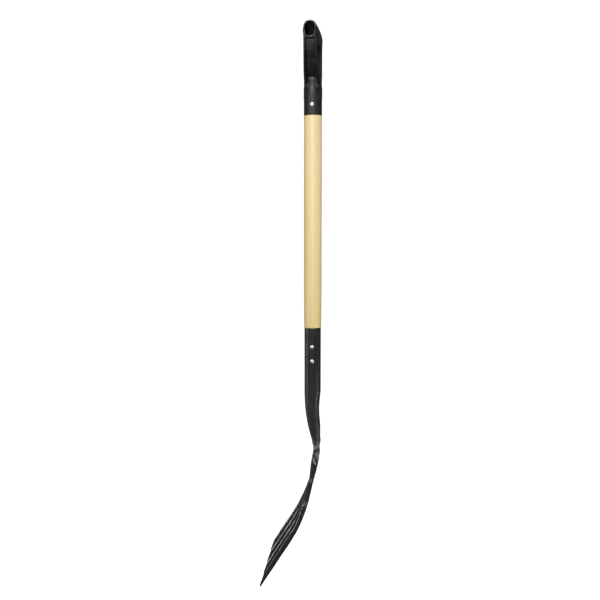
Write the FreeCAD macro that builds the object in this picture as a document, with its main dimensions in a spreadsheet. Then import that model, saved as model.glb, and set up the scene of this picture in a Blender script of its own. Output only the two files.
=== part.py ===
import FreeCAD, Part
import math
import os
import Sketcher

# Digging fork with a D-grip. Millimetres.
# +Z runs up the shaft, X is the width of the head, and the tines curve forward to -Y.
# The origin is on the shaft's axis, half way along the bare wood, where a rack clip holds it.

doc = FreeCAD.newDocument("digging_fork")
sheet = doc.addObject("Spreadsheet::Sheet", "Sizes")

DRIVING = {
    # ash shaft
    "bare_wood": 421.0,             # length of wood between the two sockets
    "shaft_radius": 17.75,
    "shoulder_radius": 17.3,        # the wood just above the steel socket
    "shaft_taper": 80.0,            # length over which the wood narrows to the shoulder
    "lower_spigot_length": 112.0,
    "lower_spigot_radius": 15.0,
    "upper_spigot_length": 49.0,
    "upper_spigot_radius": 14.75,
    "spigot_chamfer": 2.0,
    # steel socket
    "socket_radius": 16.6,
    "socket_wall": 1.6,
    "socket_round": 127.0,          # length of its round stretch
    "socket_length": 235.0,
    "socket_end_depth": 16.0,       # size of its lower end from front to back
    "socket_end_width": 26.0,
    "socket_end_back": 7.9,         # how far the lower end lies behind the axis
    "socket_dip": 0.16,             # of its radius: how far the back is dented above the end
    "socket_dip_reach": 0.72,       # share of the taper that the dent takes
    "socket_front_power": 2.2,      # how late in the taper the front slopes in
    # moulded grip
    "grip_socket_radius": 18.0,
    "grip_twist": 2.5,              # degrees that the grip is set off square to the head
    "grip_socket_height": 38.0,
    "grip_bore_depth": 50.0,
    "grip_width": 120.0,
    "bar_height": 155.6,            # from the grip's rim to the middle of its bar
    "bar_half_depth": 12.5,
    "bar_half_height": 16.0,
    "bar_wall": 2.7,
    "arm_root": 10.5,               # half width of the arms where they leave the socket
    "flare_radius": 45.0,           # outline from the socket outwards
    "arm_thickness": 13.5,
    "crotch_radius": 22.0,          # bottom of the hand opening
    "channel_depth": 9.0,
    "channel_width": 19.0,
    "root_half_depth": 16.8,        # arms, from the middle to the front, at the socket
    "waist_half_depth": 15.1,       # and a little above it
    "waist_height": 79.0,
    "arm_top_half_depth": 12.7,     # where the arms have slimmed down to the bar
    "arm_top_height": 120.0,
    "core_shoulder": 53.0,          # where the socket's core starts to taper, from the rim
    "core_height": 73.0,
    "core_top_radius": 13.0,
    # rivets
    "rivet_radius": 2.5,
    "rivet_clearance": 0.1,
    "grip_rivet_height": 20.4,      # above the grip's rim
    "grip_rivet_head": 5.4,
    "socket_rivet_head": 4.5,
    "upper_rivet_drop": 38.0,       # below the steel socket's rim
    "rivet_spacing": 28.8,
    "head_rise": 2.4,
    "tail_radius_less": 1.2,        # the peened tails are this much smaller than the heads
    "tail_rise_less": 0.6,
    "washer_radius": 6.5,
    "washer_thickness": 1.0,
    "washer_bevel": 0.4,
    # forged head
    "tang_width": 17.0,
    "tang_depth": 12.0,             # under the weld; the forging swells below it
    "tang_swell": 1.4,
    "tenon_width": 15.0,            # the stretch of tang inside the socket
    "tenon_depth": 9.0,
    "tang_inset": 34.0,             # length of tang inside the socket
    "tang_bulge_drop": 16.0,        # from the socket's end down to the swell
    "tang_front_bend": 44.0,        # and to where the tang's front and back have their last bends
    "tang_back_bend": 49.0,
    "tang_front_swell": 0.4,        # the swell on its front
    "tang_front_step": 5.0,         # how far forward of the tang's faces those bends lie
    "tang_back_step": 3.5,
    "neck_drop": 531.7,             # from the origin down to the middle of the shoulders
    "neck_forward": 3.5,            # from the axis forward to the middle of the neck
    "shoulder_fall": 5.0,           # the shoulders slope down by this much to the corners
    "corner_radius": 14.0,
    "neck_fillet": 14.0,
    "head_width": 201.0,
    "tine_pitch": 61.7,
    "tine_width": 16.0,
    "tine_end_width": 13.0,
    "tine_thickness": 9.2,
    "crotch_drop": 580.0,           # from the origin down to the top of the gaps
    "bend_radius": 309.0,           # middle of the tines' thickness
    "bend_start": 13.5,             # degrees from the shaft's line at the neck
    "bend_end": 32.6,               # degrees at the straight of the tines
    "tip_drop": 711.4,
    "tip_thickness": 3.0,
    "tip_width": 6.0,
    "bevel_length": 27.0,
    "edge_round": 1.6,
    # weld between socket and tang
    "weld_height": 13.0,
    "weld_bulge": 1.5,
    "weld_slim": 0.5,               # the collar's foot is this much slimmer than its top
    "weld_back": 0.4,               # and this much further back
}


class Size:
    """A number together with the sheet formula it comes from."""

    def __init__(self, value, text=None):
        self.value = float(value)
        self.text = text if text else "%.6g" % value

    @staticmethod
    def of(other):
        return other if isinstance(other, Size) else Size(other)

    def __add__(self, other):
        other = Size.of(other)
        return Size(self.value + other.value, "(%s + %s)" % (self.text, other.text))

    def __sub__(self, other):
        other = Size.of(other)
        return Size(self.value - other.value, "(%s - %s)" % (self.text, other.text))

    def __mul__(self, other):
        other = Size.of(other)
        return Size(self.value * other.value, "(%s * %s)" % (self.text, other.text))

    def __truediv__(self, other):
        other = Size.of(other)
        return Size(self.value / other.value, "(%s / %s)" % (self.text, other.text))

    def __radd__(self, other):
        return Size.of(other) + self

    def __rsub__(self, other):
        return Size.of(other) - self

    def __rmul__(self, other):
        return Size.of(other) * self

    def __neg__(self):
        return Size(-self.value, "(0 - %s)" % self.text)


def root(size):
    return Size(math.sqrt(size.value), "sqrt(%s)" % size.text)


def sine(size):
    """Sine of an angle kept in the sheet as a plain number of degrees."""
    return Size(math.sin(math.radians(size.value)), "sin(%s * 1 deg)" % size.text)


def cosine(size):
    return Size(math.cos(math.radians(size.value)), "cos(%s * 1 deg)" % size.text)


sizes = {}
for row, (name, value) in enumerate(DRIVING.items(), start=1):
    sheet.set("A%d" % row, name)
    sheet.set("B%d" % row, str(value))
    sheet.setAlias("B%d" % row, name)
    sizes[name] = Size(value, "Sizes." + name)
doc.recompute()


def S(name):
    return sizes[name]


# ---------------------------------------------------------------- helpers

def new_body(label):
    body = doc.addObject("PartDesign::Body", label)
    body.Label = label
    return body


def new_sketch(body, name, plane, offset=None):
    """A sketch on one of the body's own origin planes, moved along its normal by offset."""
    sketch = body.newObject("Sketcher::SketchObject", name)
    support = [f for f in body.Origin.OriginFeatures if f.Role == plane][0]
    sketch.AttachmentSupport = [(support, "")]
    sketch.MapMode = "FlatFace"
    if offset is not None:
        sketch.AttachmentOffset = FreeCAD.Placement(FreeCAD.Vector(0, 0, offset.value), FreeCAD.Rotation())
        sketch.setExpression("AttachmentOffset.Base.z", offset.text)
    return sketch


def datum(sketch, kind, where, size):
    """One driving constraint; a place on an axis is tied to the axis itself."""
    if abs(size.value) < 1e-9 and kind in ("DistanceX", "DistanceY"):
        axis = -2 if kind == "DistanceX" else -1
        sketch.addConstraint(Sketcher.Constraint("PointOnObject", where[0], where[1], axis))
        return
    if kind == "Radius":
        index = sketch.addConstraint(Sketcher.Constraint("Radius", where[0], size.value))
    else:
        index = sketch.addConstraint(Sketcher.Constraint(kind, -1, 1, where[0], where[1], size.value))
    sketch.setExpression("Constraints[%d]" % index, size.text)


def arc_between(start, end, radius):
    """The short arc between two points; a positive radius has its centre on the left of the way.

    It is made anticlockwise whichever way the outline runs, as sketches keep their arcs.
    """
    chord = end - start
    left = FreeCAD.Vector(-chord.y, chord.x, 0).normalize()
    reach = math.sqrt(radius * radius - chord.Length * chord.Length / 4.0)
    centre = (start + end) * 0.5 + left * math.copysign(reach, radius)
    first, last = (start, end) if radius > 0 else (end, start)
    angles = [math.atan2(p.y - centre.y, p.x - centre.x) for p in (first, last)]
    if angles[1] < angles[0]:
        angles[1] += 2 * math.pi
    whole = Part.Circle(centre, FreeCAD.Vector(0, 0, 1), abs(radius))
    return Part.ArcOfCircle(whole, angles[0], angles[1])


def outline(sketch, corners):
    """A closed outline: each corner is (across, up) or (across, up, radius of the arc that ends there)."""
    corners = [tuple(Size.of(c) for c in corner) for corner in corners]
    points = [FreeCAD.Vector(c[0].value, c[1].value, 0) for c in corners]
    first = len(sketch.Geometry)
    count = len(corners)
    start_ends = []
    for i in range(count):
        a, b = points[i - 1], points[i]
        if len(corners[i]) == 3:
            sketch.addGeometry(arc_between(a, b, corners[i][2].value), False)
            start_ends.append((1, 2) if corners[i][2].value > 0 else (2, 1))
        else:
            sketch.addGeometry(Part.LineSegment(a, b), False)
            start_ends.append((1, 2))
    for i in range(count):
        nxt = (i + 1) % count
        here = (first + i, start_ends[i][1])
        there = (first + nxt, start_ends[nxt][0])
        sketch.addConstraint(Sketcher.Constraint("Coincident", here[0], here[1], there[0], there[1]))
        datum(sketch, "DistanceX", here, corners[i][0])
        datum(sketch, "DistanceY", here, corners[i][1])
        if len(corners[i]) == 3:
            size = corners[i][2]
            datum(sketch, "Radius", (first + i, 0), size if size.value > 0 else -size)


def circle(sketch, across, up, radius):
    across, up, radius = Size.of(across), Size.of(up), Size.of(radius)
    centre = FreeCAD.Vector(across.value, up.value, 0)
    index = sketch.addGeometry(Part.Circle(centre, FreeCAD.Vector(0, 0, 1), radius.value), False)
    datum(sketch, "DistanceX", (index, 3), across)
    datum(sketch, "DistanceY", (index, 3), up)
    datum(sketch, "Radius", (index, 0), radius)


def ellipse(sketch, across, up, half_across, half_up):
    """An upright ellipse held by its centre and the lengths of its two axes."""
    across, up = Size.of(across), Size.of(up)
    half_across, half_up = Size.of(half_across), Size.of(half_up)
    centre = FreeCAD.Vector(across.value, up.value, 0)
    side = centre + FreeCAD.Vector(half_across.value, 0, 0)
    top = centre + FreeCAD.Vector(0, half_up.value, 0)
    tall = half_up.value > half_across.value
    shape = Part.Ellipse(top, side, centre) if tall else Part.Ellipse(side, top, centre)
    index = sketch.addGeometry(shape, False)
    sketch.exposeInternalGeometry(index)
    datum(sketch, "DistanceX", (index, 3), across)
    datum(sketch, "DistanceY", (index, 3), up)
    sketch.addConstraint(Sketcher.Constraint("Vertical" if tall else "Horizontal", index + 1))
    axes = (half_up, half_across) if tall else (half_across, half_up)
    for line, half in zip((index + 1, index + 2), axes):
        whole = 2 * half
        place = sketch.addConstraint(Sketcher.Constraint("Distance", line, whole.value))
        sketch.setExpression("Constraints[%d]" % place, whole.text)


def pad(body, sketch, length):
    """Material on both sides of the sketch, half the length on each."""
    feature = body.newObject("PartDesign::Pad", sketch.Name + "_pad")
    feature.Profile = sketch
    feature.Length = length.value
    feature.setExpression("Length", length.text)
    feature.Midplane = True
    sketch.Visibility = False
    return feature


def pocket(body, sketch, length=None, midplane=True, reverse=False):
    """A cut through everything, or of the given length, centred on the sketch."""
    feature = body.newObject("PartDesign::Pocket", sketch.Name + "_pocket")
    feature.Profile = sketch
    if length is None:
        feature.Type = "ThroughAll"
    else:
        feature.Length = length.value
        feature.setExpression("Length", length.text)
    feature.Midplane = midplane
    feature.Reversed = reverse
    sketch.Visibility = False
    return feature


def round_edges(body, feature, name, radius, below):
    """A fillet on every edge that lies wholly below a height."""
    doc.recompute()
    edges = enumerate(feature.Shape.Edges, start=1)
    chosen = ["Edge%d" % number for number, edge in edges if edge.BoundBox.ZMax < below.value - 0.01]
    fillet = body.newObject("PartDesign::Fillet", name)
    fillet.Base = (feature, chosen)
    fillet.Radius = radius.value
    fillet.setExpression("Radius", radius.text)
    return fillet


def revolve(body, sketch, axis):
    """A full turn of the sketch about one of its own axes."""
    feature = body.newObject("PartDesign::Revolution", sketch.Name + "_turned")
    feature.Profile = sketch
    feature.ReferenceAxis = (sketch, [axis])
    feature.Angle = 360.0
    sketch.Visibility = False
    return feature


def drill_across(body, name, heights, radius, twist=None):
    """Round holes along X, or turned from it with the grip, through the whole body at these heights."""
    sketch = new_sketch(body, name, "YZ_Plane")
    if twist is not None:
        turn = FreeCAD.Rotation(FreeCAD.Vector(0, -1, 0), twist.value)
        sketch.AttachmentOffset = FreeCAD.Placement(FreeCAD.Vector(), turn)
        sketch.setExpression("AttachmentOffset.Rotation.Angle", twist.text)
    for height in heights:
        circle(sketch, 0, height, radius)
    return pocket(body, sketch)


def twisted(body):
    """The body turned about the shaft with the grip, its +X side towards the front."""
    twist = S("grip_twist")
    turn = FreeCAD.Rotation(FreeCAD.Vector(0, 0, -1), twist.value)
    body.Placement = FreeCAD.Placement(FreeCAD.Vector(), turn)
    body.setExpression("Placement.Rotation.Angle", twist.text)
    return body


# ---------------------------------------------------------------- heights that the pieces share

RIM = S("bare_wood") / 2                       # rim of the moulded grip, and minus this, of the steel socket
SOCKET_END = -(RIM + S("socket_length"))
GRIP_RIVET = RIM + S("grip_rivet_height")
UPPER_RIVET = -(RIM + S("upper_rivet_drop"))
LOWER_RIVET = UPPER_RIVET - S("rivet_spacing")
RIVET_HOLE = S("rivet_radius") + S("rivet_clearance")


# ---------------------------------------------------------------- shaft

def make_shaft():
    body = new_body("shaft")
    sketch = new_sketch(body, "shaft_profile", "XZ_Plane")
    low = -(RIM + S("lower_spigot_length"))
    high = RIM + S("upper_spigot_length")
    cut = S("spigot_chamfer")
    outline(sketch, [
        (0, low),
        (S("lower_spigot_radius") - cut, low),
        (S("lower_spigot_radius"), low + cut),
        (S("lower_spigot_radius"), -RIM),
        (S("shoulder_radius"), -RIM),
        (S("shaft_radius"), S("shaft_taper") - RIM),
        (S("shaft_radius"), RIM),
        (S("upper_spigot_radius"), RIM),
        (S("upper_spigot_radius"), high - cut),
        (S("upper_spigot_radius") - cut, high),
        (0, high),
    ])
    revolve(body, sketch, "V_Axis")
    drill_across(body, "shaft_socket_rivet_holes", [UPPER_RIVET, LOWER_RIVET], RIVET_HOLE)
    drill_across(body, "shaft_grip_rivet_hole", [GRIP_RIVET], RIVET_HOLE, S("grip_twist"))
    return body


# ---------------------------------------------------------------- steel socket

def socket_station(share):
    """Centre and half sizes of the tapered end at a share of its length, 0 at the round end.

    The front slopes in late, the back has a shallow dent and comes out again, and the width
    shrinks with the square of the share.
    """
    radius = S("socket_radius")
    dent = math.sin(math.pi * min(1.0, share / DRIVING["socket_dip_reach"])) ** 1.5
    dip = S("socket_dip") * dent
    end_front = S("socket_end_back") - S("socket_end_depth") / 2
    end_back = S("socket_end_back") + S("socket_end_depth") / 2
    blend = share ** DRIVING["socket_front_power"]
    front = (end_front + radius) * blend - radius
    back = radius * (1.0 - dip) - (radius - end_back) * share
    half_width = radius - (radius - S("socket_end_width") / 2) * share ** 2
    return (front + back) / 2, half_width, (back - front) / 2


def make_socket():
    body = new_body("socket")
    top = -RIM
    shoulder = top - S("socket_round")
    reach = S("socket_length") - S("socket_round")
    tube = new_sketch(body, "socket_tube", "XZ_Plane")
    outer = S("socket_radius")
    inner = outer - S("socket_wall")
    outline(tube, [(inner, shoulder), (outer, shoulder), (outer, top), (inner, top)])
    revolve(body, tube, "V_Axis")
    for kind, wall in (("AdditiveLoft", Size(0)), ("SubtractiveLoft", S("socket_wall"))):
        rings = []
        for step in range(7):
            share = step / 6.0
            middle, half_width, half_depth = socket_station(share)
            ring = new_sketch(body, "%s_ring_%d" % (kind.lower(), step), "XY_Plane", shoulder - reach * share)
            if step == 0:
                circle(ring, 0, 0, outer - wall)
            else:
                ellipse(ring, 0, middle, half_width - wall, half_depth - wall)
            ring.Visibility = False
            rings.append(ring)
        loft = body.newObject("PartDesign::" + kind, kind.lower())
        loft.Profile = rings[0]
        loft.Sections = rings[1:]
    drill_across(body, "socket_rivet_holes", [UPPER_RIVET, LOWER_RIVET], RIVET_HOLE)
    return body


# ---------------------------------------------------------------- moulded grip

def arm_radius():
    """Radius of the arm's outer arc, from the flare's and the rise and spread between their ends.

    Both arcs end upright, so the square of the rise and of the spread less both radii make the
    square of both radii together.
    """
    spread = S("grip_width") / 2 - S("arm_root")
    rise = S("bar_height") - S("grip_socket_height")
    return (spread * spread + rise * rise) / (2 * spread) - S("flare_radius")


def arm_outline_points(inwards):
    """Where the flare and the arm's arc meet, at a depth inwards from the outline."""
    flare_across = S("arm_root") + S("flare_radius")
    arm_across = S("grip_width") / 2 - arm_radius()
    share = (S("flare_radius") + inwards) / (S("flare_radius") + arm_radius())
    across = flare_across + (arm_across - flare_across) * share
    up = S("grip_socket_height") + (S("bar_height") - S("grip_socket_height")) * share
    return across, up


def hand_opening_points():
    """Where the opening's side arc meets its bottom arc, and the height of the bottom arc's centre."""
    arm_across = S("grip_width") / 2 - arm_radius()
    side = arm_radius() - S("arm_thickness")
    gap = side - S("crotch_radius")
    rise = root(gap * gap - arm_across * arm_across)
    centre = S("bar_height") - rise
    share = side / gap
    across = arm_across - arm_across * share
    up = S("bar_height") - rise * share
    return across, up, centre


def make_grip():
    body = new_body("d_grip")
    bar = RIM + S("bar_height")
    foot = RIM + S("grip_socket_height")
    half = S("grip_width") / 2
    core = S("grip_socket_radius")
    arm_root = S("arm_root")
    flare = S("flare_radius")
    arm = arm_radius()
    opening = arm - S("arm_thickness")
    join_across, join_up = arm_outline_points(Size(0))
    bend_across, bend_up, bend_centre = hand_opening_points()
    inside = half - S("arm_thickness")
    crotch = S("crotch_radius")
    bottom = RIM + bend_centre - crotch

    front = new_sketch(body, "grip_front", "XZ_Plane")
    outline(front, [
        (arm_root, foot),
        (join_across, RIM + join_up, -flare),
        (half, bar, arm),
        (inside, bar),
        (bend_across, RIM + bend_up, -opening),
        (0, bottom, -crotch),
        (-bend_across, RIM + bend_up, -crotch),
        (-inside, bar, -opening),
        (-half, bar),
        (-join_across, RIM + join_up, arm),
        (-arm_root, foot, -flare),
    ])
    pad(body, front, 2 * core)

    # Everything in front of the arms and behind them is cut away.
    side = new_sketch(body, "grip_side", "YZ_Plane")
    clear = core + 10
    for sign in (1, -1):
        outline(side, [
            (sign * S("root_half_depth"), foot - 5),
            (sign * S("root_half_depth"), foot),
            (sign * S("waist_half_depth"), RIM + S("waist_height")),
            (sign * S("arm_top_half_depth"), RIM + S("arm_top_height")),
            (sign * S("bar_half_depth"), bar),
            (sign * S("bar_half_depth"), bar + 5),
            (sign * clear, bar + 5),
            (sign * clear, foot - 5),
        ])
    pocket(body, side)

    channels = new_sketch(body, "grip_channels", "XZ_Plane")
    depth = S("channel_depth")
    floor = arm - depth
    top = bar - S("bar_half_height")
    floor_top = half - arm + root(floor * floor - S("bar_half_height") * S("bar_half_height"))
    floor_across, floor_up = arm_outline_points(depth)
    for sign in (1, -1):
        outline(channels, [
            (sign * (arm_root - depth), foot - 5),
            (sign * (arm_root - depth), foot),
            (sign * floor_across, RIM + floor_up, -sign * (flare + depth)),
            (sign * floor_top, top, sign * floor),
            (sign * (half + 5), top),
            (sign * (half + 5), foot - 5),
        ])
    pocket(body, channels, S("channel_width"))

    socket = new_sketch(body, "grip_socket", "XZ_Plane")
    crown = RIM + S("core_height")
    outline(socket, [
        (0, RIM),
        (core, RIM),
        (core, RIM + S("core_shoulder")),
        (S("core_top_radius"), crown),
        (0, crown),
    ])
    revolve(body, socket, "V_Axis")

    tube = new_sketch(body, "grip_bar", "YZ_Plane")
    ellipse(tube, 0, bar, S("bar_half_depth"), S("bar_half_height"))
    pad(body, tube, S("grip_width"))
    hollow = new_sketch(body, "grip_bar_bore", "YZ_Plane")
    ellipse(hollow, 0, bar, S("bar_half_depth") - S("bar_wall"), S("bar_half_height") - S("bar_wall"))
    pocket(body, hollow)

    bore = new_sketch(body, "grip_shaft_bore", "XY_Plane", RIM)
    circle(bore, 0, 0, S("upper_spigot_radius"))
    pocket(body, bore, S("grip_bore_depth"), midplane=False, reverse=True)
    drill_across(body, "grip_rivet_hole", [GRIP_RIVET], RIVET_HOLE)
    return twisted(body)


# ---------------------------------------------------------------- rivets

def seated(label, body, seat):
    """The body with its underside shaped to the piece that it is pulled down on."""
    cut = doc.addObject("Part::Cut", label)
    cut.Label = label
    cut.Base = body
    cut.Tool = seat
    return cut


def make_rivet(label, height, head_at, tail_at, head_radius):
    """A rivet along X: a domed head on +X and a smaller peened dome on -X."""
    body = new_body(label + "_blank")
    sketch = new_sketch(body, label + "_profile", "XY_Plane", height)
    rise = S("head_rise")
    tail = head_radius - S("tail_radius_less")
    tail_rise = rise - S("tail_rise_less")
    shank = S("rivet_radius")
    dome = (head_radius * head_radius + rise * rise) / (2 * rise)
    tail_dome = (tail * tail + tail_rise * tail_rise) / (2 * tail_rise)
    outline(sketch, [
        (-tail_at, shank),
        (-tail_at, tail),
        (-tail_at - tail_rise, 0, tail_dome),
        (head_at + rise, 0),
        (head_at, head_radius, dome),
        (head_at, shank),
    ])
    revolve(body, sketch, "H_Axis")
    return body


def sunk(wall, reach):
    """How far out the wall of a round socket still is at this distance from the rivet's axis."""
    return root(wall * wall - reach * reach)


def make_rivets(grip, socket):
    core = S("grip_socket_radius")
    wall = S("socket_radius")
    grip_head = S("grip_rivet_head")
    head = S("socket_rivet_head")
    grip_rivet = make_rivet("grip_rivet", GRIP_RIVET, sunk(core, grip_head),
                            core + S("washer_thickness"), grip_head)
    rivets = [seated("grip_rivet", twisted(grip_rivet), grip)]
    for label, height in (("upper_socket_rivet", UPPER_RIVET), ("lower_socket_rivet", LOWER_RIVET)):
        rivet = make_rivet(label, height, sunk(wall, head), sunk(wall, head), head)
        rivets.append(seated(label, rivet, socket))
    return rivets


def make_washer(grip):
    body = new_body("washer_blank")
    sketch = new_sketch(body, "washer_profile", "XY_Plane", GRIP_RIVET)
    inner = -sunk(S("grip_socket_radius"), S("washer_radius"))
    outer = -(S("grip_socket_radius") + S("washer_thickness"))
    outline(sketch, [
        (inner, RIVET_HOLE),
        (inner, S("washer_radius")),
        (outer, S("washer_radius") - S("washer_bevel")),
        (outer, RIVET_HOLE),
    ])
    revolve(body, sketch, "H_Axis")
    return seated("grip_rivet_washer", twisted(body), grip)


# ---------------------------------------------------------------- forged head

def make_head():
    body = new_body("fork_head")
    neck = -S("neck_drop")
    half_thick = S("tine_thickness") / 2
    start, end = S("bend_start"), S("bend_end")
    bend = S("bend_radius")
    centre_y = -S("neck_forward") - bend * cosine(start)
    centre_z = neck + bend * sine(start)
    front_r, back_r = bend - half_thick, bend + half_thick
    slope = sine(end) / cosine(end)

    def on_arc(radius, angle):
        return centre_y + radius * cosine(angle), centre_z - radius * sine(angle)

    tip_z = -S("tip_drop")
    back_y, back_z = on_arc(back_r, end)
    front_y, front_z = on_arc(front_r, end)
    tip_back_y = back_y - (back_z - tip_z) * slope
    tip_front_y = tip_back_y - S("tip_thickness") * cosine(end)
    tip_front_z = tip_z + S("tip_thickness") * sine(end)
    bevel_z = tip_front_z + S("bevel_length") * cosine(end)
    bevel_y = front_y - (front_z - bevel_z) * slope
    middle = S("socket_end_back")
    tang_front = middle - S("tang_depth") / 2
    tang_back = middle + S("tang_depth") / 2
    tang_top = SOCKET_END + S("tang_inset")
    tenon_front = middle - S("tenon_depth") / 2
    tenon_back = middle + S("tenon_depth") / 2

    bulge = SOCKET_END - S("tang_bulge_drop")
    under_weld = SOCKET_END - S("tang_bulge_drop") / 2

    side = new_sketch(body, "head_side", "YZ_Plane")
    outline(side, [
        (tenon_front, tang_top),
        (tenon_front, SOCKET_END),
        (tang_front, SOCKET_END),
        (tang_front, under_weld),
        (tang_front - S("tang_front_swell"), bulge),
        (tang_front - S("tang_front_step"), SOCKET_END - S("tang_front_bend")),
        on_arc(front_r, start),
        on_arc(front_r, end) + (-front_r,),
        (bevel_y, bevel_z),
        (tip_front_y, tip_front_z),
        (tip_back_y, tip_z),
        on_arc(back_r, end),
        on_arc(back_r, start) + (back_r,),
        (tang_back - S("tang_back_step"), SOCKET_END - S("tang_back_bend")),
        (tang_back + S("tang_swell"), bulge),
        (tang_back, under_weld),
        (tang_back, SOCKET_END),
        (tenon_back, SOCKET_END),
        (tenon_back, tang_top),
    ])
    pad(body, side, S("head_width"))

    # Everything outside the front outline is cut away.
    around = new_sketch(body, "head_front", "XZ_Plane")
    tang = S("tang_width") / 2
    tenon = S("tenon_width") / 2
    half = S("head_width") / 2
    corner = S("corner_radius")
    fillet = S("neck_fillet")
    shoulder_low = neck - S("shoulder_fall")
    tine = S("tine_width") / 2
    tine_end = S("tine_end_width") / 2
    point = S("tip_width") / 2
    bevel_top = tip_z + S("bevel_length")
    far = half + 20
    outer_tine = half - tine
    for sign in (1, -1):
        outline(around, [
            (sign * tenon, tang_top + 10),
            (sign * tenon, SOCKET_END),
            (sign * tang, SOCKET_END),
            (sign * tang, neck + fillet),
            (sign * (tang + fillet), neck, sign * fillet),
            (sign * (half - corner), shoulder_low),
            (sign * half, shoulder_low - corner, -sign * corner),
            (sign * (outer_tine + tine_end), bevel_top),
            (sign * (outer_tine + point), tip_z - 10),
            (sign * far, tip_z - 10),
            (sign * far, tang_top + 10),
        ])
    pitch = S("tine_pitch")
    crotch = -S("crotch_drop")
    round_end = (pitch - S("tine_width")) / 2
    for gap in (-1, 0, 1):
        across = gap * pitch
        outline(around, [
            (across, crotch, round_end),
            (across - round_end, crotch - round_end, round_end),
            (across - pitch / 2 + tine_end, bevel_top),
            (across - pitch / 2 + point, tip_z - 10),
            (across + pitch / 2 - point, tip_z - 10),
            (across + pitch / 2 - tine_end, bevel_top),
            (across + round_end, crotch - round_end),
        ])
    cut_out = pocket(body, around)
    round_edges(body, cut_out, "head_rounded", S("edge_round"), neck + fillet + 0.5)
    return body


def make_weld(head):
    """A collar of weld round the tang where it leaves the socket, one ring lofted to the next."""
    body = new_body("weld_blank")
    end_width = S("socket_end_width") / 2
    end_depth = S("socket_end_depth") / 2
    rings = []
    for step in range(4):
        share = step / 3.0
        arch = math.sin(math.pi * (0.15 + 0.7 * share))
        swell = S("weld_bulge") * arch - S("weld_slim") * share
        ring = new_sketch(body, "weld_ring_%d" % step, "XY_Plane", SOCKET_END - S("weld_height") * share)
        middle = S("socket_end_back") + S("weld_back") * share
        ellipse(ring, 0, middle, end_width + swell, end_depth + swell)
        ring.Visibility = False
        rings.append(ring)
    loft = body.newObject("PartDesign::AdditiveLoft", "weld_loft")
    loft.Profile = rings[0]
    loft.Sections = rings[1:]
    return seated("weld_bead", body, head)


# ---------------------------------------------------------------- build and write

shaft = make_shaft()
socket = make_socket()
grip = make_grip()
head = make_head()
pieces = [shaft, socket, grip, head] + make_rivets(grip, socket) + [make_washer(grip), make_weld(head)]
doc.recompute()
for item in doc.Objects:
    if "Invalid" in item.State or "Error" in item.State:
        raise RuntimeError("%s failed: %s" % (item.Name, item.State))
for piece in pieces:
    if piece.Shape.isNull() or not piece.Shape.isValid():
        raise RuntimeError(piece.Label + " has no valid shape")
    print(piece.Label, "solids", len(piece.Shape.Solids), "volume %.0f mm3" % piece.Shape.Volume)

os.makedirs("parts", exist_ok=True)
for piece in pieces:
    piece.Shape.exportStep("parts/%s.step" % piece.Label)
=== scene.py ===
import math
import bpy
import numpy as np
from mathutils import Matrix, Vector


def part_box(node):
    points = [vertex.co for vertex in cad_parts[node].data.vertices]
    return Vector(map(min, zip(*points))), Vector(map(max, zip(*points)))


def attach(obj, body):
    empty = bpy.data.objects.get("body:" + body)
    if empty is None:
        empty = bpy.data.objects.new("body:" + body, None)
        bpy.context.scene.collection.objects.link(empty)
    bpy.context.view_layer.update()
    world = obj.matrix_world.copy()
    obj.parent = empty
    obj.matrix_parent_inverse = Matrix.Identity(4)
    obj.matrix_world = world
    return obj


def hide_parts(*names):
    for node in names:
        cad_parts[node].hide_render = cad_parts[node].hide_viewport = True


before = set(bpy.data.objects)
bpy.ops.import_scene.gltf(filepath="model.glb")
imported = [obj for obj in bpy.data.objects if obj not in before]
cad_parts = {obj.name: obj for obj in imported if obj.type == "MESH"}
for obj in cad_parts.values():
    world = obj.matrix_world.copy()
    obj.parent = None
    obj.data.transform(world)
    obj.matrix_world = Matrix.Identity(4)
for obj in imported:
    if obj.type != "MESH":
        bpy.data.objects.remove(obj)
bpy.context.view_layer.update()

# Shapes are worked out in millimetres and written to the meshes in metres.
MM = 0.001


def corners(node):
    """Lowest and highest corner of a node, in millimetres."""
    low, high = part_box(node)
    return np.array(low) / MM, np.array(high) / MM


grip_low, grip_high = corners("d_grip")
shaft_low, shaft_high = corners("shaft")
socket_low, socket_high = corners("socket")
head_high = corners("fork_head")[1]

GRIP_RIM = grip_low[2]
SOCKET_RIM = socket_high[2]
SOCKET_END = socket_low[2]
SHAFT_RADIUS = shaft_high[0]
SOCKET_RADIUS = socket_high[0]
GRIP_RADIUS = grip_high[1]
GRIP_TWIST = math.radians(2.5)  # the grip is set this far off square to the head
SOCKET_WALL = 1.6
SOCKET_ROUND = 127              # length of the steel socket's round stretch
SOCKET_END_BACK = 7.9           # how far the middle of its lower end lies behind the axis
UPPER_SPIGOT = 14.75            # radius of the wood inside the grip
RIVET_SHANK = 2.5
RIVET_HOLE = 2.6
GRIP_RIVET_UP = 20.4            # from the grip's rim
TINE_PITCH = 61.7


# ------------------------------------------------------------------ meshes

def add_piece(name, points, faces, node, material):
    """A mesh from points in millimetres, riding on the tool and standing for one node."""
    mesh = bpy.data.meshes.new(name)
    mesh.from_pydata((points * MM).tolist(), [], faces.tolist())
    mesh.shade_smooth()
    mesh.materials.append(material)
    mesh.update()
    piece = bpy.data.objects.new(name, mesh)
    bpy.context.scene.collection.objects.link(piece)
    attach(piece, "root")
    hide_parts(node)
    return piece


def wrap_faces(rows, columns, close_rows):
    """Quads of a grid whose columns go round; its rows go round too where close_rows says so."""
    r = np.arange(rows if close_rows else rows - 1)
    c = np.arange(columns)
    r, c = np.meshgrid(r, c, indexing="ij")
    r2, c2 = (r + 1) % rows, (c + 1) % columns
    quads = np.stack([r * columns + c, r * columns + c2, r2 * columns + c2, r2 * columns + c], -1)
    return quads.reshape(-1, 4)


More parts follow.
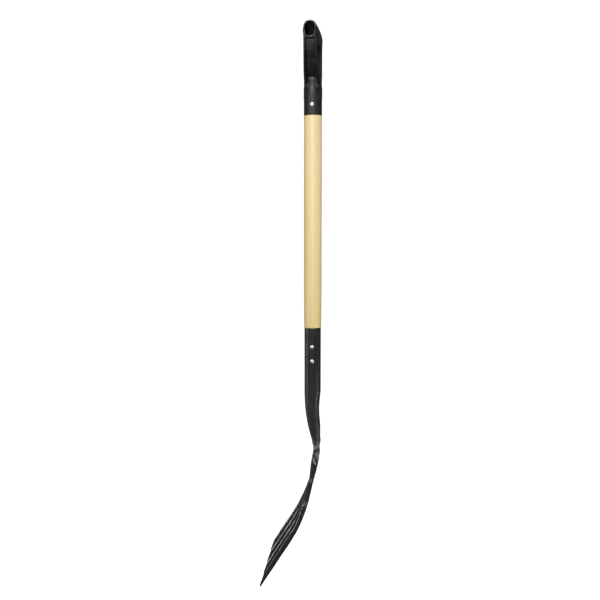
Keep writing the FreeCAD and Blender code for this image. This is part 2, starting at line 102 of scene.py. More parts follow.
def turned(profile, segments):
    """A profile of (radius, height) points turned about Z, with both ends drawn to the axis.

    Point (r, h) at angle a becomes (r cos a, r sin a, h). The profile runs upwards on the
    outside, and its first and last points have radius 0 and are kept once each.
    """
    profile = np.array(profile, float)
    angle = np.linspace(0, 2 * math.pi, segments, endpoint=False)
    radius, height = profile[1:-1, 0], profile[1:-1, 1]
    ring = np.stack([
        radius[:, None] * np.cos(angle),
        radius[:, None] * np.sin(angle),
        np.repeat(height[:, None], segments, 1),
    ], -1).reshape(-1, 3)
    points = np.concatenate([ring, [[0, 0, profile[0, 1]], [0, 0, profile[-1, 1]]]])
    quads = wrap_faces(len(radius), segments, False).tolist()
    bottom, top = len(ring), len(ring) + 1
    here = np.arange(segments)
    after = (here + 1) % segments
    last = (len(radius) - 1) * segments
    caps = np.stack([np.full(segments, bottom), after, here], 1).tolist()
    caps += np.stack([np.full(segments, top), last + here, last + after], 1).tolist()
    faces = np.empty(len(quads) + len(caps), object)
    faces[:] = quads + caps
    return points, faces


def round_corner(profile, radius, steps=4):
    """The same open profile with each inner corner replaced by an arc-like curve of that reach."""
    profile = np.array(profile, float)
    out = [profile[:1]]
    share = np.linspace(0, 1, steps + 1)[:, None]
    for before, here, after in zip(profile[:-2], profile[1:-1], profile[2:]):
        back, on = before - here, after - here
        reach = min(radius, 0.45 * np.hypot(*back), 0.45 * np.hypot(*on))
        start = here + back / np.hypot(*back) * reach
        end = here + on / np.hypot(*on) * reach
        out.append((1 - share) ** 2 * start + 2 * share * (1 - share) * here + share ** 2 * end)
    return np.concatenate(out + [profile[-1:]])


# ------------------------------------------------------------------ solids given by a distance field

def meet(a, b, r):
    """The part in both fields, its edges rounded by r."""
    return np.minimum(-r, np.maximum(a, b)) + np.hypot(np.maximum(a + r, 0), np.maximum(b + r, 0))


def join(a, b, r):
    """The two fields joined, with a fillet of r in the corner between them."""
    return np.maximum(r, np.minimum(a, b)) - np.hypot(np.maximum(r - a, 0), np.maximum(r - b, 0))


def oval(u, v, half_u, half_v, power=2.4):
    """Distance from an oval in the u, v plane, right to the first order; a higher power is squarer."""
    a, b = np.abs(u) / half_u, np.abs(v) / half_v
    near = np.maximum((a ** power + b ** power) ** (1 / power), 1e-6)
    steep = np.hypot((a / near) ** (power - 1) / half_u, (b / near) ** (power - 1) / half_v)
    return (near - 1) / steep


def net(field, low, high, step):
    """Skin of the space where the field is negative, as points and quads.

    The field is read on a grid. Each cell that the skin passes through gets one point, at the
    mean of the crossings on its edges, and each grid edge that the skin cuts gets one quad
    between the four cells round it. The points are then pulled onto the field's zero.
    """
    axes = [np.arange(a - step, b + 2 * step, step) for a, b in zip(low, high)]
    value = field(*np.meshgrid(*axes, indexing="ij")).astype(np.float32)
    inside = value < 0
    cells = tuple(n - 1 for n in value.shape)
    total = np.zeros(cells + (3,), np.float32)
    hits = np.zeros(cells, np.float32)
    cuts = []
    for axis in range(3):
        upper = [slice(None)] * 3
        lower = [slice(None)] * 3
        upper[axis] = slice(1, None)
        lower[axis] = slice(None, -1)
        a, b = value[tuple(lower)], value[tuple(upper)]
        cut = inside[tuple(lower)] != inside[tuple(upper)]
        along = np.where(cut, a / np.where(cut, a - b, 1), 0)
        cuts.append((cut, inside[tuple(lower)]))
        u, v = (axis + 1) % 3, (axis + 2) % 3
        for du in (0, 1):
            for dv in (0, 1):
                part = [slice(None)] * 3
                part[u] = slice(du, du + cells[u])
                part[v] = slice(dv, dv + cells[v])
                seen = cut[tuple(part)]
                total[..., axis] += along[tuple(part)]
                total[..., u] += du * seen
                total[..., v] += dv * seen
                hits += seen
    live = hits > 0
    number = np.full(cells, -1)
    number[live] = np.arange(live.sum())
    origin = np.array([a[0] for a in axes])
    points = (np.argwhere(live) + total[live] / hits[live][:, None]) * step + origin
    quads = []
    for axis, (cut, start_inside) in enumerate(cuts):
        u, v = (axis + 1) % 3, (axis + 2) % 3
        where = np.argwhere(cut)
        keep = (where[:, u] > 0) & (where[:, v] > 0)
        keep &= (where[:, u] < cells[u]) & (where[:, v] < cells[v])
        where = where[keep]
        forward = start_inside[tuple(where.T)]
        ring = []
        for du, dv in ((1, 1), (0, 1), (0, 0), (1, 0)):
            cell = where.copy()
            cell[:, u] -= du
            cell[:, v] -= dv
            ring.append(number[tuple(cell.T)])
        ring = np.stack(ring, 1)
        quads.append(np.where(forward[:, None], ring, ring[:, ::-1]))
    for _ in range(3):
        points = pulled(field, points, step)
    return points, np.concatenate(quads)


def pulled(field, points, step):
    """Points moved along the field's slope to where it is zero, by no more than half a cell."""
    reach = 0.05
    here = field(*points.T)
    slope = np.stack([
        (field(*(points + reach * unit).T) - field(*(points - reach * unit).T)) / (2 * reach)
        for unit in np.eye(3)
    ], 1)
    shift = slope * (here / np.maximum((slope ** 2).sum(1), 0.05))[:, None]
    size = np.maximum(np.linalg.norm(shift, axis=1), 1e-9)
    return points - shift * np.minimum(1, 0.5 * step / size)[:, None]


# ------------------------------------------------------------------ shader helpers

class Value:
    """A node socket that takes part in sums: each operator adds one Math node."""

    def __init__(self, shader, socket):
        self.shader = shader
        self.socket = socket

    def math(self, operation, a, b):
        return self.shader.node("ShaderNodeMath", {"operation": operation}, {0: a, 1: b})

    def __add__(self, other):
        return self.math("ADD", self, other)

    def __radd__(self, other):
        return self.math("ADD", other, self)

    def __sub__(self, other):
        return self.math("SUBTRACT", self, other)

    def __rsub__(self, other):
        return self.math("SUBTRACT", other, self)

    def __mul__(self, other):
        return self.math("MULTIPLY", self, other)

    def __pow__(self, other):
        return self.math("POWER", self, other)


class Shader:
    """One material's node tree and its Principled shader."""

    def __init__(self, name, **fixed):
        self.material = bpy.data.materials.new(name)
        self.material.use_nodes = True
        self.nodes = self.material.node_tree.nodes
        self.links = self.material.node_tree.links
        self.surface = self.nodes["Principled BSDF"]
        self.place = self.node("ShaderNodeTexCoord", {}, {}, "Object")
        for socket, value in fixed.items():
            self.surface.inputs[socket.replace("_", " ")].default_value = value

    def node(self, kind, settings, inputs, output=0):
        """Any node: its settings first, then a value or a link for each named socket."""
        node = self.nodes.new(kind)
        for name, value in settings.items():
            if name == "stops":
                ramp = node.color_ramp
                for index, (position, color) in enumerate(value):
                    stop = ramp.elements[index] if index < 2 else ramp.elements.new(position)
                    stop.position = position
                    stop.color = color if len(color) == 4 else (*color, 1)
            else:
                setattr(node, name, value)
        for socket, value in inputs.items():
            if isinstance(value, Value):
                self.links.new(value.socket, node.inputs[socket])
            else:
                node.inputs[socket].default_value = value
        return Value(self, node.outputs[output])

    def feed(self, **inputs):
        """Links values into the Principled shader's sockets."""
        for socket, value in inputs.items():
            self.links.new(value.socket, self.surface.inputs[socket.replace("_", " ")])

    def stretched(self, x, y, z):
        """The place on the piece, scaled along each axis."""
        return self.node("ShaderNodeVectorMath", {"operation": "MULTIPLY"},
                         {0: self.place, 1: (x, y, z)})

    def noise(self, place, scale, detail=2.0, roughness=0.5):
        return self.node("ShaderNodeTexNoise", {"noise_dimensions": "3D"},
                         {"Vector": place, "Scale": scale, "Detail": detail, "Roughness": roughness})

    def axes(self):
        """The place on the piece as x, y and z in metres."""
        split = self.nodes.new("ShaderNodeSeparateXYZ")
        self.links.new(self.place.socket, split.inputs[0])
        return [Value(self, split.outputs[i]) for i in range(3)]

    def ramp(self, value, *stops):
        return self.node("ShaderNodeValToRGB", {"stops": stops}, {"Fac": value})

    def mask(self, value, start, end):
        """0 below start and 1 above end, with a straight rise between."""
        return self.node("ShaderNodeMapRange", {"clamp": True},
                         {"Value": value, "From Min": start, "From Max": end})

    def mix(self, factor, a, b):
        """Two colours mixed."""
        return self.node("ShaderNodeMix", {"data_type": "RGBA"}, {0: factor, 6: a, 7: b}, 2)

    def bump(self, height, strength, distance, under=None):
        inputs = {"Height": height, "Strength": strength, "Distance": distance}
        if under:
            inputs["Normal"] = under
        return self.node("ShaderNodeBump", {}, inputs)


# ------------------------------------------------------------------ materials

def ash_wood():
    """Pale straight-grained ash under a clear satin lacquer.

    The growth rings are cylinders round a pith that lies off to one side of the shaft, so the
    shaft cuts them in long lines; noise drawn out along the grain bends them slightly.
    """
    s = Shader("ash_wood", Coat_Roughness=0.4, IOR=1.5, Coat_IOR=1.5)
    x, y, z = s.axes()
    sway = s.noise(s.stretched(1, 1, 0.10), 28, 3)
    drift = s.noise(s.stretched(1, 1, 0.02), 9, 2)
    side = x + 0.052 + (drift - 0.5) * 0.02
    across = y - 0.034 + (sway - 0.5) * 0.006
    reach = (side * side + across * across) ** 0.5
    rings_per_metre = 330
    ring = s.node("ShaderNodeMath", {"operation": "FRACT"}, {0: reach * rings_per_metre})
    late = s.ramp(ring, (0.0, (0, 0, 0)), (0.55, (0.25, 0.25, 0.25)),
                  (0.9, (1, 1, 1)), (1.0, (0, 0, 0)))
    fibre = s.noise(s.stretched(1, 1, 0.012), 1500, 3, 0.6)
    pore = s.noise(s.stretched(1, 1, 0.03), 2400, 1)
    pores = s.mask(pore, 0.62, 0.72) * s.mask(ring, 0.35, 0.95)
    cloud = s.noise(s.stretched(1, 1, 0.25), 22, 2)
    tone = late * 0.42 + (fibre - 0.5) * 0.55 + (cloud - 0.5) * 0.35 + 0.25
    color = s.ramp(tone, (0.0, (0.73, 0.59, 0.33)), (0.35, (0.68, 0.535, 0.275)),
                   (0.75, (0.58, 0.42, 0.18)), (1.0, (0.49, 0.33, 0.12)))
    color = s.mix(pores * 0.35, color, (0.42, 0.27, 0.11, 1))
    # Towards the bottom of the shaft the colour is mixed towards a darker, yellower tone.
    low = s.mask(z, 0.15, -0.21)
    color = s.mix(low * 0.35, color, (0.66, 0.475, 0.165, 1))
    grain = s.bump(fibre * 0.6 - pores * 0.8, 0.25, 0.0003)
    s.feed(Base_Color=color, Roughness=0.5 + (fibre - 0.5) * 0.2 + pores * 0.2,
           Coat_Weight=0.15 - pores * 0.15, Normal=grain)
    return s.material


def moulded_plastic():
    """Black moulded plastic: satin on the arms and bar, finely stippled on the socket."""
    s = Shader("moulded_plastic", IOR=1.49)
    z = s.axes()[2]
    rim = GRIP_RIM * MM
    cloud = s.noise(s.place, 60, 3)
    stipple = s.noise(s.place, 1500, 2, 0.6)
    fine = s.noise(s.place, 4200, 2)
    rough_part = 1 - s.mask(z, rim + 0.040, rim + 0.050)
    color = s.mix(rough_part * s.mask(stipple, 0.4, 0.7),
                  (0.005, 0.005, 0.0052, 1), (0.014, 0.014, 0.0145, 1))
    skin = s.bump(fine, 0.12, 0.0001)
    skin = s.bump(stipple * rough_part, 0.8, 0.0005, skin)
    s.feed(Base_Color=color, Roughness=0.44 + (cloud - 0.5) * 0.12 + rough_part * 0.10, Normal=skin)
    return s.material


def black_paint():
    """Satin black paint on steel: a faint orange peel, a little dust and a faintly cloudy tone and
    gloss.
    """
    s = Shader("black_paint", IOR=1.5)
    peel = s.noise(s.place, 900, 2)
    cloud = s.noise(s.place, 35, 4)
    dust = s.noise(s.place, 5200, 1)
    color = s.mix(s.mask(cloud, 0.35, 0.75), (0.012, 0.012, 0.0124, 1), (0.018, 0.018, 0.0186, 1))
    color = s.mix(s.mask(dust, 0.73, 0.8) * 0.25, color, (0.22, 0.22, 0.22, 1))
    s.feed(Base_Color=color, Roughness=0.36 + (cloud - 0.5) * 0.16 + (peel - 0.5) * 0.1,
           Normal=s.bump(peel, 0.18, 0.0003))
    return s.material


def weld_skin():
    """Thin glossy paint over a lumpy weld, with heat-greyed steel showing through in patches."""
    s = Shader("weld_skin", IOR=1.5)
    lumps = s.noise(s.stretched(1, 1, 0.35), 300, 3, 0.5)
    bare = s.mask(lumps, 0.45, 0.68)
    color = s.mix(bare, (0.018, 0.018, 0.019, 1), (0.36, 0.36, 0.365, 1))
    s.feed(Base_Color=color, Metallic=bare * 0.8, Roughness=0.20 + lumps * 0.2,
           Normal=s.bump(lumps, 0.6, 0.0012))
    return s.material


def bright_zinc():
    """Bright plated rivet steel, a little cloudy, with a few small pits."""
    s = Shader("bright_zinc", Metallic=0.78)
    pits = s.noise(s.place, 2600, 2)
    cloud = s.noise(s.place, 380, 3)
    color = s.mix(s.mask(cloud, 0.35, 0.7), (0.92, 0.92, 0.91, 1), (0.78, 0.78, 0.78, 1))
    s.feed(Base_Color=color, Roughness=0.20 + cloud * 0.14, Normal=s.bump(pits, 0.12, 0.0001))
    return s.material


WOOD = ash_wood()
PLASTIC = moulded_plastic()
PAINT = black_paint()
WELD = weld_skin()
ZINC = bright_zinc()


# ------------------------------------------------------------------ shaft

def build_shaft():
    """The ash shaft: a spigot in each socket, a straight round stretch and a slight taper below."""
    lower_spigot = SOCKET_RADIUS - SOCKET_WALL
    slimming, taper_length = 0.45, 80
    profile = [
        (0, shaft_low[2]),
        (lower_spigot, shaft_low[2]),
        (lower_spigot, SOCKET_RIM),
        (SHAFT_RADIUS - slimming, SOCKET_RIM),
        (SHAFT_RADIUS, SOCKET_RIM + taper_length),
        (SHAFT_RADIUS, GRIP_RIM),
        (UPPER_SPIGOT, GRIP_RIM),
        (UPPER_SPIGOT, shaft_high[2]),
        (0, shaft_high[2]),
    ]
    points, faces = turned(round_corner(profile, 0.7), 128)
    return add_piece("ash_shaft", points, faces, "shaft", WOOD)


# ------------------------------------------------------------------ steel socket

def socket_section(share):
    """Centre, half width and half depth of the tapered end; share is 0 at its round top, 1 at its end.

    The front comes in late. The back dips in by about a sixth of the radius and comes out
    again. The width shrinks with the square of the share.
    """
    end_front, end_back, narrowing = -0.1, 15.9, 3.6
    dip_depth, dip_reach, lateness = 0.16, 0.72, 2.2
    dip = dip_depth * np.sin(math.pi * np.minimum(1, share / dip_reach)) ** 1.5
    front = (SOCKET_RADIUS + end_front) * share ** lateness - SOCKET_RADIUS
    back = SOCKET_RADIUS * (1 - dip) - (SOCKET_RADIUS - end_back) * share
    half_width = SOCKET_RADIUS - narrowing * share ** 2
    return (front + back) / 2, half_width, (back - front) / 2


def build_socket():
    """The drawn steel tube: rings of ovals down its length, outside and inside, joined at both lips."""
    half_wall = SOCKET_WALL / 2
    segments = 128
    round_end = SOCKET_RIM - SOCKET_ROUND
    heights = np.concatenate([
        np.linspace(SOCKET_END, round_end, 60, endpoint=False),
        np.linspace(round_end, SOCKET_RIM, 70),
    ])
    # Each point of the loop has a height and an inset from the outside.
    outside = np.stack([heights, np.zeros_like(heights)], 1)
    inside = np.stack([heights[::-1], np.full_like(heights, SOCKET_WALL)], 1)
    # Each lip rounds over from the outside to the inside on a half circle.
    turn = np.linspace(0, math.pi, 7)[1:-1]
    top_lip = np.stack([SOCKET_RIM - half_wall * (1 - np.sin(turn)), half_wall * (1 - np.cos(turn))], 1)
    end_lip = np.stack([SOCKET_END + half_wall * (1 - np.sin(turn)), half_wall * (1 + np.cos(turn))], 1)
    for end in (outside[0], inside[-1]):
        end[0] += half_wall
    for end in (outside[-1], inside[0]):
        end[0] -= half_wall
    loop = np.concatenate([outside, top_lip, inside, end_lip])
    share = np.clip((round_end - loop[:, 0]) / (round_end - SOCKET_END), 0, 1)
    centre, half_width, half_depth = socket_section(share)
    angle = np.linspace(0, 2 * math.pi, segments, endpoint=False)
    inset = loop[:, 1]
    points = np.stack([
        (half_width - inset)[:, None] * np.cos(angle),
        centre[:, None] + (half_depth - inset)[:, None] * np.sin(angle),
        np.repeat(loop[:, :1], segments, 1),
    ], -1).reshape(-1, 3)
    faces = wrap_faces(len(loop), segments, True)
    return add_piece("steel_socket", points, faces, "socket", PAINT)


# ------------------------------------------------------------------ moulded grip

GRIP_FOOT = 38.0                # height above the grip's rim where its arms begin to flare
GRIP_BAR = 155.6                # height above the rim of the middle of its bar
GRIP_HALF = 60.0                # half of its width


def arms_field(x, y, z):
    """Distance from the grip's two arms.

    Seen from the front, each arm lies between an outer line of two arcs that meet end to end and
    the hand opening's line of two more. Front to back the arms swell near the socket. A channel
    runs down the outside of each, shallow under the bar and deeper below.
    """
    root, flare, thick, crotch = 10.5, 45.0, 13.5, 22.0
    spread, rise = GRIP_HALF - root, GRIP_BAR - GRIP_FOOT
    arm = (spread ** 2 + rise ** 2) / (2 * spread) - flare
    side = np.abs(x)
    flare_x, arm_x = root + flare, GRIP_HALF - arm
    to_flare = np.hypot(side - flare_x, z - GRIP_FOOT)
    to_arm = np.hypot(side - arm_x, z - GRIP_BAR)
    above = (side - flare_x) * rise + (z - GRIP_FOOT) * (flare_x - arm_x) > 0
    outer = np.where(above, to_arm - arm, flare - to_flare)
    outer = np.where(z < GRIP_FOOT, side - root, outer)
    outer = np.where(z > GRIP_BAR, side - GRIP_HALF, outer)
    low_z = GRIP_BAR - math.sqrt((arm - thick - crotch) ** 2 - arm_x ** 2)
    beside = side * (GRIP_BAR - low_z) - (z - low_z) * arm_x > 0
    opening = np.where(beside, to_arm - (arm - thick), np.hypot(side, z - low_z) - crotch)
    plan = meet(outer, -opening, 0.6)
    slim, swell, swell_from, swell_length = 12.4, 4.0, 50, 48
    depth = slim + swell * np.exp(-(np.maximum(z - swell_from, 0) / swell_length) ** 2)
    arms = meet(plan, np.abs(y) - depth, 2.6)
    arms = meet(arms, GRIP_FOOT - 4 - z, 1.0)
    arms = np.maximum(arms, z - GRIP_BAR)
    shallow, deepening, fall, lip, channel_half = 2.6, 6.9, 34, 16.6, 9.5
    ramp = np.clip((GRIP_BAR - 17 - z) / fall, 0, 1)
    channel_depth = shallow + deepening * ramp ** 0.8
    channel = meet(-channel_depth - outer, np.abs(y) - channel_half, 2.4)
    channel = meet(channel, z - (GRIP_BAR - lip), 1.6)
    return meet(arms, -channel, 0.9)


def core_field(x, y, z):
    """Distance from the grip's socket and the core above it, which narrows between the arms."""
    shoulder, top, narrowing = 51, 73, 5.0
    taper = np.clip((z - shoulder) / (top - shoulder), 0, 1) ** 1.3
    return meet(np.hypot(x, y) - (GRIP_RADIUS - narrowing * taper), z - top, 3.0)


def bar_field(x, y, z):
    """Distance from the solid bar: an oval that leans a little and is fuller in the middle."""
    half_depth, half_height, lean = 12.5, 16.0, math.radians(5)
    crown = 1.7 * (1 - (x / GRIP_HALF) ** 2)
    up = z - GRIP_BAR
    across = y * math.cos(lean) - up * math.sin(lean)
    along = up * math.cos(lean) + y * math.sin(lean)
    section = oval(across, along, half_depth + crown, half_height + 0.5 * crown)
    return meet(section, np.abs(x) - GRIP_HALF, 1.4)


def grip_field(x, y, z):
    """Distance from the grip's plastic before it is turned: arms, core and bar, less the hollows."""
    z = z - GRIP_RIM
    bore_depth, hollow_half_depth, hollow_half_height = 50, 9.8, 13.3
    body = join(arms_field(x, y, z), core_field(x, y, z), 3.5)
    body = join(body, bar_field(x, y, z), 2.0)
    body = meet(body, -oval(y, z - GRIP_BAR, hollow_half_depth, hollow_half_height), 0.8)
    body = meet(body, -z, 0.6)
    bore = meet(np.hypot(x, y) - UPPER_SPIGOT, z - bore_depth, 1.0)
    hole = np.hypot(y, z - GRIP_RIVET_UP) - RIVET_HOLE
    return np.maximum(np.maximum(body, -bore), -hole)


def twisted(points):
    """Points turned about the shaft with the grip, its +X side towards the front."""
    cos, sin = math.cos(GRIP_TWIST), math.sin(GRIP_TWIST)
    x, y, z = points.T
    return np.stack([x * cos + y * sin, y * cos - x * sin, z], 1)


def build_grip():
    """The grip's skin, turned about the shaft."""
    points, faces = net(grip_field, [-61, -19, GRIP_RIM - 1], [61, 19, grip_high[2] + 1], 0.9)
    return add_piece("moulded_grip", twisted(points), faces, "d_grip", PLASTIC)


# ------------------------------------------------------------------ forged head

# The head is drawn straight and then bent: the middle line's heading is in degrees forward of
# straight down, against the distance along it in millimetres, counted from the socket's end.
HEAD_LENGTH = 295.0
TENON = 34.0
ALONG = np.linspace(-TENON, HEAD_LENGTH + 12, 1400)
HEADING = np.radians(np.interp(ALONG, [0, 14, 24, 60, 87, 190], [-1, -1, 8.5, 9.5, 13.5, 32.6]))
STEP = ALONG[1] - ALONG[0]
LINE_Y = SOCKET_END_BACK - np.cumsum(np.sin(HEADING)) * STEP
LINE_Z = SOCKET_END - np.cumsum(np.cos(HEADING)) * STEP
ZERO = int(round(TENON / STEP))
LINE_Y += SOCKET_END_BACK - LINE_Y[ZERO]
LINE_Z += SOCKET_END - LINE_Z[ZERO]


def head_plan(x, s, z, bevel):
    """Distance from the head's outline seen square to its plane; s runs along it, z is the height."""
    half = head_high[0]
    neck, crotch = SOCKET_END - 86.2, SOCKET_END - 134.5
    shoulder_fall, flat_half, slope_length, shoulder_round = 5, 20, 66, 14
    side = np.abs(x)
    shoulder = neck - shoulder_fall * np.clip((side - flat_half) / slope_length, 0, 1)
    yoke = meet(side - half, z - shoulder, shoulder_round)
    tine_half, narrowing, narrow_from, narrow_length, point = 8.0, 1.5, 23, 75, 3.4
    tine = tine_half - narrowing * np.clip((crotch - narrow_from - z) / narrow_length, 0, 1)
    tine = tine - point * bevel ** 1.6
    near = np.abs(side - TINE_PITCH / 2)
    beside = np.minimum(near, np.abs(side - TINE_PITCH * 1.5)) - tine
    gap_x = np.minimum(side, np.abs(side - TINE_PITCH))
    reach = TINE_PITCH / 2 - tine_half
    low = z < crotch - reach
    gap_top = np.hypot(gap_x, z - (crotch - reach)) - reach
    gap = np.where(z > crotch - reach, gap_top, -beside)
    gap = np.where((side > TINE_PITCH * 1.5) & low, -10.0, gap)
    plan = np.maximum(yoke, -gap)
    plan = np.maximum(plan, np.where(low, beside, plan))
    tang_half = np.interp(s, [-2, 2, 20], [7.5, 8.5, 9.0])
    tang = np.maximum(side - tang_half, neck - 20 - z)
    plan = join(plan, tang, 13)
    plan = meet(plan, s - HEAD_LENGTH, 2.2)
    return np.maximum(plan, -TENON - s)


def head_field(x, t, up):
    """Distance from the forging before it is bent: x across, t through it, up against its length.

    In plan it is a tang, a yoke with rounded shoulders and four tines parted by round-topped
    gaps; through it, it is as thick as its distance along says, and every edge is rounded.
    """
    s = -up
    bevel_length, bevel_depth, edge_round = 28, 6.4, 2.5
    bevel = np.clip((s - (HEAD_LENGTH - bevel_length)) / bevel_length, 0, 1)
    plan = head_plan(x, s, np.interp(s, ALONG, LINE_Z), bevel)
    half_thick = np.interp(s, [-2, 1, 10, 18, 36, 50, 61, 74, 87, 110],
                           [4.5, 6.0, 6.2, 7.0, 7.5, 7.1, 6.4, 5.6, 4.9, 4.7])
    wave = 0.12 * np.sin(x / 11 + 1.3) * np.sin(s / 17) + 0.08 * np.sin(x / 5.1 + s / 9)
    back = t - half_thick - wave
    front = -t - half_thick - wave + bevel_depth * bevel ** 1.15
    return meet(plan, np.maximum(back, front), edge_round)


def bent_along(points):
    """Points laid from the straight head onto its bent middle line, each at its own distance through."""
    x, through, up = points.T
    heading = np.interp(-up, ALONG, HEADING)
    return np.stack([
        x,
        np.interp(-up, ALONG, LINE_Y) + through * np.cos(heading),
        np.interp(-up, ALONG, LINE_Z) - through * np.sin(heading),
    ], 1)


def build_head():
    """The forging's skin, bent so that its middle plane follows the heading along its length."""
    low = [-head_high[0] - 1, -8.6, -HEAD_LENGTH - 1]
    high = [head_high[0] + 1, 8.6, TENON + 1]
    points, faces = net(head_field, low, high, 0.95)
    return add_piece("forged_head", bent_along(points), faces, "fork_head", PAINT)


def lumps(x, y, z):
    """Smooth bumps between -1 and 1 about 9 mm apart, with smaller ones 4 mm apart on top."""
    slow = np.sin(x / 1.45 + 1.7 * np.sin(z / 3.1)) * np.sin(y / 1.6 + 0.8)
    slow = slow * np.sin(z / 1.75 + 1.2 * np.sin(y / 2.3))
    fast = np.sin(x / 0.62 + z / 0.9) * np.sin(y / 0.7 - z / 0.8 + 1.1 * np.sin(x / 1.3))
    return 0.75 * slow + 0.25 * fast


def weld_field(x, t, up):
    """Distance from the weld before it is bent: a lumpy skin on the tang and over the socket's lip.

    Its section is a rounded box a little larger than the socket's end, shrinking to the tang's.
    It reaches far down the tang's two sides and only a little way down its front and back, and it
    climbs over the socket's lip at the front and back.
    """
    s = -up
    shrink = np.clip((s + 1) / 9, 0, 1)
    shrink = shrink * shrink * (3 - 2 * shrink)
    top_x, low_x, top_t, skin = 13.4, 9.6, 8.5, 0.1
    half_x = top_x + (low_x - top_x) * shrink
    tang = np.interp(s, [-2, 1, 10, 18, 36, 50], [6.0, 6.0, 6.2, 7.0, 7.5, 7.1])
    half_t = top_t + (tang + skin - top_t) * shrink
    corner = 6.5 - 3.7 * shrink
    over_x = np.maximum(np.abs(x) - half_x + corner, 0)
    over_t = np.maximum(np.abs(t) - half_t + corner, 0)
    section = np.hypot(over_x, over_t) - corner
    section = section - 0.7 * lumps(x, t, s) * (1 - 0.35 * np.clip(-s / 3, 0, 1))
    # Four puddles on each side, at these places through the head and along it.
    for place, along in ((-3.0, 14.0), (3.5, 6.0), (-4.0, 43.0), (2.0, 28.0)):
        section = section - 1.2 * np.exp(-((t - place * np.sign(x)) ** 2 + (s - along) ** 2) / 13)
    edge = np.clip(np.abs(t) / half_t, 0, 1)
    reach = 8.0 + 38.0 * (1 - edge ** 4) + 2.0 * np.sin(t * 0.9 + np.sign(x)) + 1.2 * np.sin(x * 0.8)
    climb = 0.5 + 6.5 * edge ** 3 + 0.8 * np.sin(x * 0.7 + 2.0)
    return meet(meet(section, s - reach, 1.2), -climb - s, 0.8)


def build_weld():
    """The weld's skin, bent along the head's middle line like the forging."""
    points, faces = net(weld_field, [-16, -11, -54], [16, 11, 12], 0.6)
    return add_piece("weld_run", bent_along(points), faces, "weld_bead", WELD)


# ------------------------------------------------------------------ rivets

def build_rivet(name, node, head_top, tail_top, with_grip=False):
    """A rivet lying along X: a domed head, a shank and a smaller peened dome.

    The profile of radius against height is turned about Z and then laid down, head to +X.
    """
    low, high = corners(node)
    middle, head, head_rise = (low[2] + high[2]) / 2, (high[2] - low[2]) / 2, 2.4
    tail, tail_rise = head - 1.2, 1.8
    seat = head_top - head_rise
    tail_seat = tail_rise - tail_top
    turn = np.linspace(0, math.pi / 2, 14)
    dome = np.stack([head * np.cos(turn) ** 0.85, seat + head_rise * np.sin(turn)], 1)
    peen = np.stack([tail * np.sin(turn), tail_seat - tail_rise * np.cos(turn)], 1)
    shank = [
        (RIVET_SHANK, tail_seat + 0.2),
        (RIVET_SHANK, seat - 0.9),
        (head - 0.2, seat - 0.9),
        (head, seat - 0.6),
    ]
    points, faces = turned(np.concatenate([peen, shank, dome]), 64)
    laid = np.stack([points[:, 2], points[:, 1], middle - points[:, 0]], 1)
    return add_piece(name, twisted(laid) if with_grip else laid, faces, node, ZINC)


def build_washer():
    """The washer under the peened tail: a flat ring, cupped to the socket it is pulled down on."""
    low, high = corners("grip_rivet_washer")
    middle = (low[2] + high[2]) / 2
    outer, thickness, segments = (high[2] - low[2]) / 2, 1.0, 96
    profile = np.array([
        (RIVET_HOLE, 0),
        (outer - 0.2, 0),
        (outer, 0.25),
        (outer - 0.15, 0.85),
        (outer - 0.45, thickness),
        (RIVET_HOLE, thickness),
    ])
    angle = np.linspace(0, 2 * math.pi, segments, endpoint=False)
    radius = profile[:, :1] * np.ones_like(angle)
    across = radius * np.cos(angle)
    up = radius * np.sin(angle)
    cup = GRIP_RADIUS - np.sqrt(GRIP_RADIUS ** 2 - across ** 2)
    out = -GRIP_RADIUS - profile[:, 1:] + cup * 0.85
    points = np.stack([out, across, middle + up], -1).reshape(-1, 3)
    faces = wrap_faces(len(profile), segments, True)
    return add_piece("rivet_washer", twisted(points), faces, "grip_rivet_washer", ZINC)


build_shaft()
build_socket()
build_grip()
build_head()
build_weld()
build_rivet("grip_rivet_steel", "grip_rivet", GRIP_RADIUS + 1.6, GRIP_RADIUS + 2.8, True)
build_rivet("upper_rivet_steel", "upper_socket_rivet", SOCKET_RADIUS + 1.8, SOCKET_RADIUS + 1.2)
build_rivet("lower_rivet_steel", "lower_socket_rivet", SOCKET_RADIUS + 1.8, SOCKET_RADIUS + 1.2)
build_washer()


# ------------------------------------------------------------------ stage, light and camera

FLOOR_HEIGHT = -1.05


def plain_stage_material(name, color, glow):
    """A dull colour with a white glow of this strength."""
    s = Shader(name, Base_Color=(*color, 1), Roughness=0.9, Emission_Color=(1, 1, 1, 1),
               Emission_Strength=glow)
    return s.material


def build_stage():
    """A pale floor below the tines and a pale dome far round it, which light nothing themselves."""
    centre = (0, 0, FLOOR_HEIGHT)
    bpy.ops.mesh.primitive_circle_add(vertices=96, radius=9, fill_type="NGON", location=centre)
    floor = bpy.context.object
    floor.name = "floor"
    floor.data.materials.append(plain_stage_material("pale_floor", (0.9, 0.9, 0.9), 1.0))
    bpy.ops.mesh.primitive_uv_sphere_add(segments=64, ring_count=32, radius=9.5, location=centre)
    dome = bpy.context.object
    dome.name = "backdrop"
    dome.data.materials.append(plain_stage_material("pale_backdrop", (0, 0, 0), 1.05))
    for part in (floor, dome):
        part.visible_diffuse = False
        part.visible_glossy = False
        part.visible_shadow = False


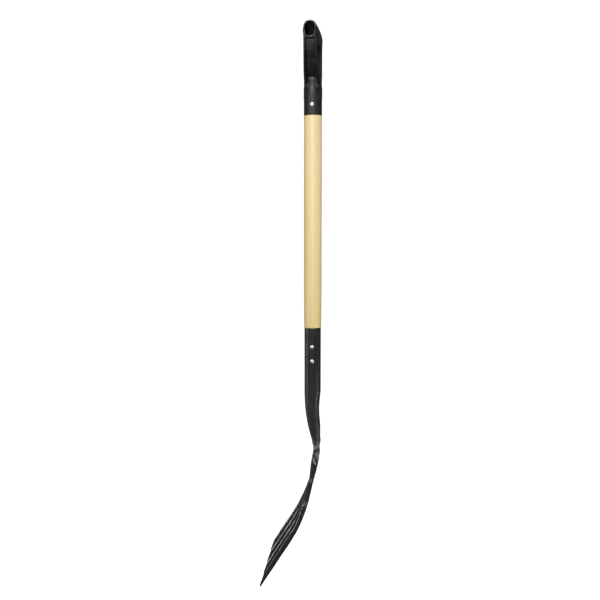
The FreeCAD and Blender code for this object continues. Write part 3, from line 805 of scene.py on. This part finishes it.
def area_light(name, place, aim, width, height, power, gives="both", spread=180):
    """A soft box with a beam of spread degrees; gives is "fill", "highlight" or "both"."""
    light = bpy.data.lights.new(name, "AREA")
    light.shape = "RECTANGLE"
    light.size = width
    light.size_y = height
    light.energy = power
    light.spread = math.radians(spread)
    lamp = bpy.data.objects.new(name, light)
    lamp.location = place
    lamp.rotation_euler = (Vector(aim) - Vector(place)).to_track_quat("-Z", "Y").to_euler()
    lamp.visible_glossy = gives != "fill"
    lamp.visible_diffuse = gives != "highlight"
    bpy.context.scene.collection.objects.link(lamp)


def build_light():
    """Soft fill from the front and both sides, a box overhead, and boxes that only make highlights.

    Of those, one is broad and stands in front, two are aimed at the head from its left and
    right, and a narrow one is aimed just above the grip.
    """
    world = bpy.data.worlds.new("studio")
    world.use_nodes = True
    background = world.node_tree.nodes["Background"]
    background.inputs["Color"].default_value = (1, 1, 1, 1)
    background.inputs["Strength"].default_value = 0.10
    bpy.context.scene.world = world
    area_light("front_fill", (2.2, 0.2, 0.5), (0, 0, -0.1), 2.0, 2.0, 55, "fill")
    area_light("left_fill", (0.6, -2.2, 0.3), (0, 0, -0.1), 1.5, 2.0, 21, "fill")
    area_light("right_fill", (0.6, 2.2, 0.3), (0, 0, -0.1), 1.5, 2.0, 22, "fill")
    area_light("front_soft", (2.0, -0.40, 0.8), (0, 0, 0.2), 0.7, 0.9, 36, "highlight")
    area_light("overhead", (0.9, -0.1, 2.0), (0, 0, -0.1), 1.4, 1.4, 16)
    area_light("left_edge", (0.2, -1.9, -0.22), (0, -0.1, -0.70), 0.8, 0.3, 2.4, "highlight", 34)
    area_light("right_edge", (0.45, 1.9, -1.5), (0, 0, -0.60), 0.3, 0.5, 0.4, "highlight", 18)
    area_light("recess_glow", (2.0, -0.3, 0.0), (0.06, 0, 0.41), 0.25, 0.25, 0.16, "highlight", 8)


def build_camera():
    """A 50 mm lens level with the middle of the shaft, on the rivet heads' side and a little behind."""
    camera = bpy.data.objects.new("camera", bpy.data.cameras.new("camera"))
    camera.data.lens = 50.0
    camera.data.sensor_width = 36.0
    camera.location = (1.6702, 0.1141, -0.0083)
    forward = Vector((-0.99271, -0.08310, -0.08731))
    camera.rotation_euler = forward.to_track_quat("-Z", "Y").to_euler()
    bpy.context.scene.collection.objects.link(camera)
    bpy.context.scene.camera = camera


build_stage()
build_light()
build_camera()
bpy.context.scene.view_settings.view_transform = "Standard"
